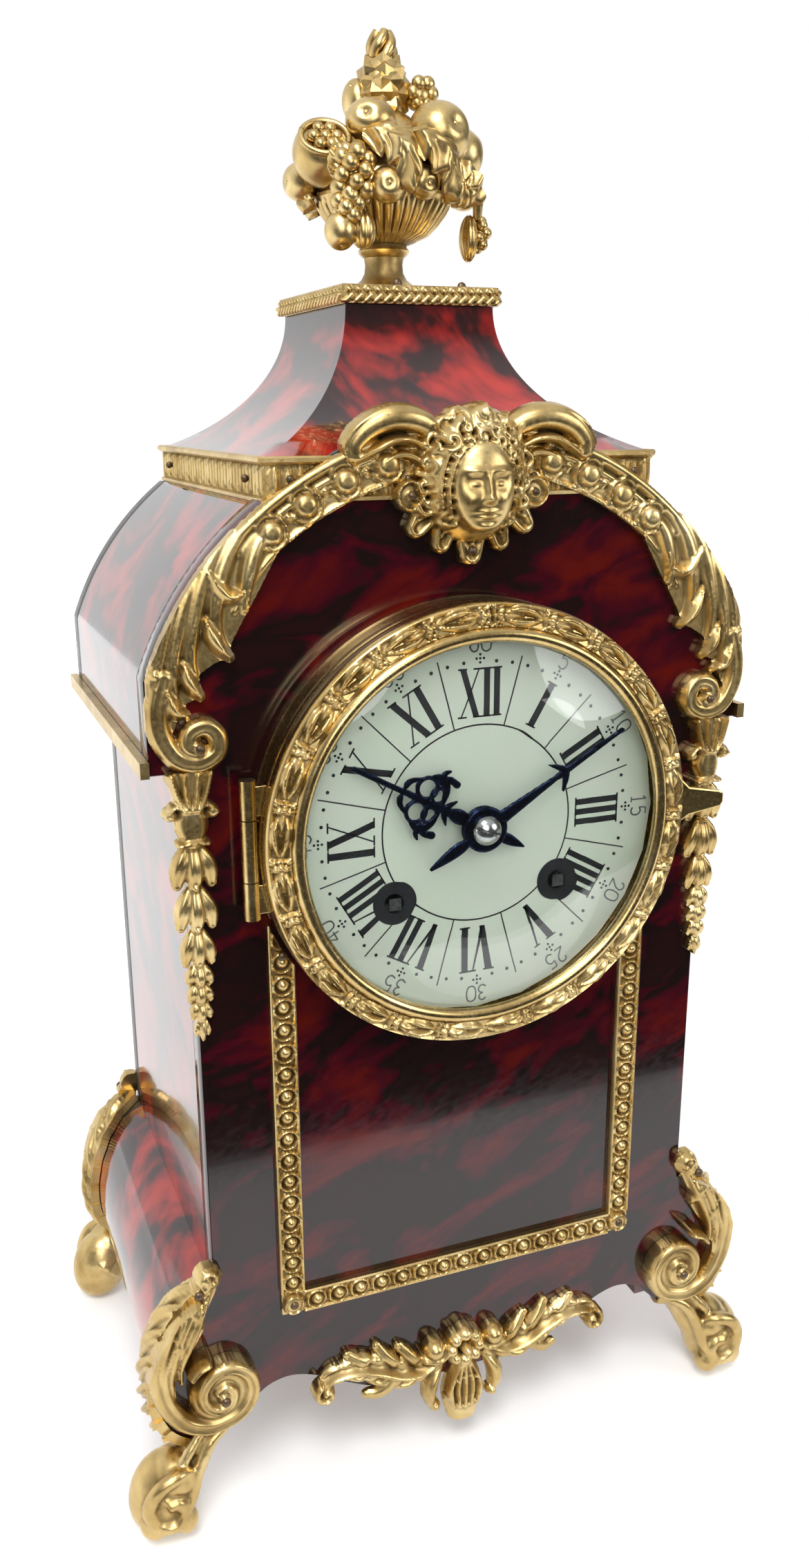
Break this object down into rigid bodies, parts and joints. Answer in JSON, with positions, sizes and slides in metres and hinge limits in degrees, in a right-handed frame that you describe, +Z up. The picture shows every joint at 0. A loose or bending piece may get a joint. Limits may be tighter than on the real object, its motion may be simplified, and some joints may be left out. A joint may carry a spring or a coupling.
{
  "type": "bracket clock",
  "caption": "Arch-topped bracket clock in tortoiseshell and gilt, with scroll feet, a stepped concave roof, fruit finial, hinged glazed bezel and a spring-driven movement.",
  "frame": {"origin": "centre of the clock's footprint, at the level of the feet's flats", "axes": "+Z up, the dial faces -Y, +X to the right of someone who faces the dial"},
  "size_m": [0.2032, 0.1396, 0.3997],
  "materials": {
    "tortoiseshell": "red tortoiseshell veneer, polished",
    "ebonised": "ebonised, polished",
    "carcass": "bare carcass wood",
    "gilt": "fire-gilt cast bronze, burnished and matt",
    "brass": "polished movement brass",
    "steel": "polished steel",
    "blued": "dark blued steel",
    "enamel": "white enamel",
    "glass": "bevelled clear glass",
    "silvered": "silvered bell metal"
  },
  "bodies": {
    "case": {"front_board": "tortoiseshell", "back_board": "tortoiseshell", "right_side": "tortoiseshell", "left_side": "tortoiseshell", "base_board": "carcass", "arched_hood": "tortoiseshell", "gallery_frieze": "gilt", "roof": "tortoiseshell", "top_gallery": "gilt", "finial_urn": "gilt", "finial_stud": "steel", "finial_fruit": "gilt", "arch_mount_right": "gilt", "arch_mount_left": "gilt", "mask_mount": "gilt", "garland_right": "gilt", "garland_left": "gilt", "bead_frame_bottom": "gilt", "bead_frame_right": "gilt", "bead_frame_left": "gilt", "apron_mount": "gilt", "leg_front_right": "gilt", "leg_front_left": "gilt", "leg_back_right": "gilt", "leg_back_left": "gilt", "shoulder_strip_right": "gilt", "shoulder_strip_left": "gilt", "bezel_seat": "gilt", "hinge_pin": "steel", "dial": "enamel", "front_plate": "brass", "back_plate": "brass", "strap_right": "brass", "strap_left": "brass", "pendulum_cock": "brass", "bell": "silvered", "back_ring": "brass", "back_hinge_pin": "steel"},
    "bezel": {"bezel_ring": "gilt", "bezel_glass": "glass"},
    "rear_door": {"back_door": "brass", "back_door_glass": "glass"},
    "minute_work": {"centre_arbor": "brass", "minute_hand": "blued", "hand_nut": "steel"},
    "hour_work": {"hour_wheel": "brass", "hour_hand": "blued"},
    "minute_wheel": {"minute_wheel": "brass"},
    "intermediate": {"intermediate_wheel": "brass"},
    "going_barrel": {"going_barrel": "brass"},
    "going_winder": {"going_winding_arbor": "steel"},
    "third": {"third_wheel": "brass"},
    "escape": {"escape_wheel": "brass"},
    "pendulum": {"pendulum": "brass"},
    "anchor": {"anchor": "steel"},
    "strike_wheel": {"strike_wheel": "brass"},
    "strike_barrel": {"strike_barrel": "brass"},
    "strike_winder": {"strike_winding_arbor": "steel"},
    "fly": {"fly": "brass"},
    "hammer": {"hammer": "steel"}
  },
  "joints": [
    {"name": "bezel_open", "type": "hinge", "parent": "case", "child": "bezel", "pos_m": [-0.0604, -0.05655, 0.2025], "axis": [0, 0, -1], "range_deg": [0, 100]},
    {"name": "back_door_open", "type": "hinge", "parent": "case", "child": "rear_door", "pos_m": [0.0589, 0.06595, 0.2025], "axis": [0, 0, -1], "range_deg": [0, 100]},
    {"name": "minute_spin", "type": "hinge", "parent": "case", "child": "minute_work", "pos_m": [0, 0, 0.2025], "axis": [0, 1, 0], "continuous": true},
    {"name": "hour_spin", "type": "hinge", "parent": "case", "child": "hour_work", "pos_m": [0, 0, 0.2025], "axis": [0, 1, 0], "continuous": true},
    {"name": "minute_wheel_spin", "type": "hinge", "parent": "case", "child": "minute_wheel", "pos_m": [0.00576, 0, 0.21248], "axis": [0, 1, 0], "continuous": true},
    {"name": "intermediate_spin", "type": "hinge", "parent": "case", "child": "intermediate", "pos_m": [0.00094, 0, 0.18783], "axis": [0, 1, 0], "continuous": true},
    {"name": "going_barrel_spin", "type": "hinge", "parent": "case", "child": "going_barrel", "pos_m": [0.0234, 0, 0.1842], "axis": [0, 1, 0], "continuous": true},
    {"name": "third_spin", "type": "hinge", "parent": "case", "child": "third", "pos_m": [-0.01001, 0, 0.21178], "axis": [0, 1, 0], "continuous": true},
    {"name": "escape_spin", "type": "hinge", "parent": "case", "child": "escape", "pos_m": [0, 0, 0.22106], "axis": [0, 1, 0], "continuous": true},
    {"name": "going_wind", "type": "hinge", "parent": "case", "child": "going_winder", "pos_m": [0.0234, 0, 0.1842], "axis": [0, 1, 0], "continuous": true},
    {"name": "pendulum_swing", "type": "hinge", "parent": "case", "child": "pendulum", "pos_m": [0, -0.00435, 0.23346], "axis": [0, 1, 0], "range_deg": [-3.5, 3.5]},
    {"name": "anchor_rock", "type": "hinge", "parent": "case", "child": "anchor", "pos_m": [0, -0.00435, 0.23346], "axis": [0, 1, 0], "range_deg": [-3.5, 3.5]},
    {"name": "strike_spin", "type": "hinge", "parent": "case", "child": "strike_wheel", "pos_m": [-0.0264, 0, 0.20675], "axis": [0, 1, 0], "continuous": true},
    {"name": "strike_barrel_spin", "type": "hinge", "parent": "case", "child": "strike_barrel", "pos_m": [-0.0234, 0, 0.1842], "axis": [0, 1, 0], "continuous": true},
    {"name": "strike_wind", "type": "hinge", "parent": "case", "child": "strike_winder", "pos_m": [-0.0234, 0, 0.1842], "axis": [0, 1, 0], "continuous": true},
    {"name": "fly_spin", "type": "hinge", "parent": "case", "child": "fly", "pos_m": [-0.0264, 0, 0.2189], "axis": [0, 1, 0], "continuous": true},
    {"name": "hammer_lift", "type": "hinge", "parent": "case", "child": "hammer", "pos_m": [-0.027, 0, 0.2225], "axis": [0, 1, 0], "range_deg": [0, 12], "stiffness_Nm_per_rad": 0.003, "springref_deg": -8.59}
  ],
  "couplings": [
    {"joint": "hour_spin", "follows": "minute_spin", "ratio": 0.083333},
    {"joint": "minute_wheel_spin", "follows": "minute_spin", "ratio": -0.33333},
    {"joint": "intermediate_spin", "follows": "minute_spin", "ratio": -0.16667},
    {"joint": "going_barrel_spin", "follows": "minute_spin", "ratio": 0.027778},
    {"joint": "third_spin", "follows": "minute_spin", "ratio": -12},
    {"joint": "escape_spin", "follows": "minute_spin", "ratio": 144},
    {"joint": "anchor_rock", "follows": "pendulum_swing", "ratio": 1},
    {"joint": "strike_barrel_spin", "follows": "strike_spin", "ratio": -0.16667},
    {"joint": "fly_spin", "follows": "strike_spin", "ratio": -8}
  ]
}
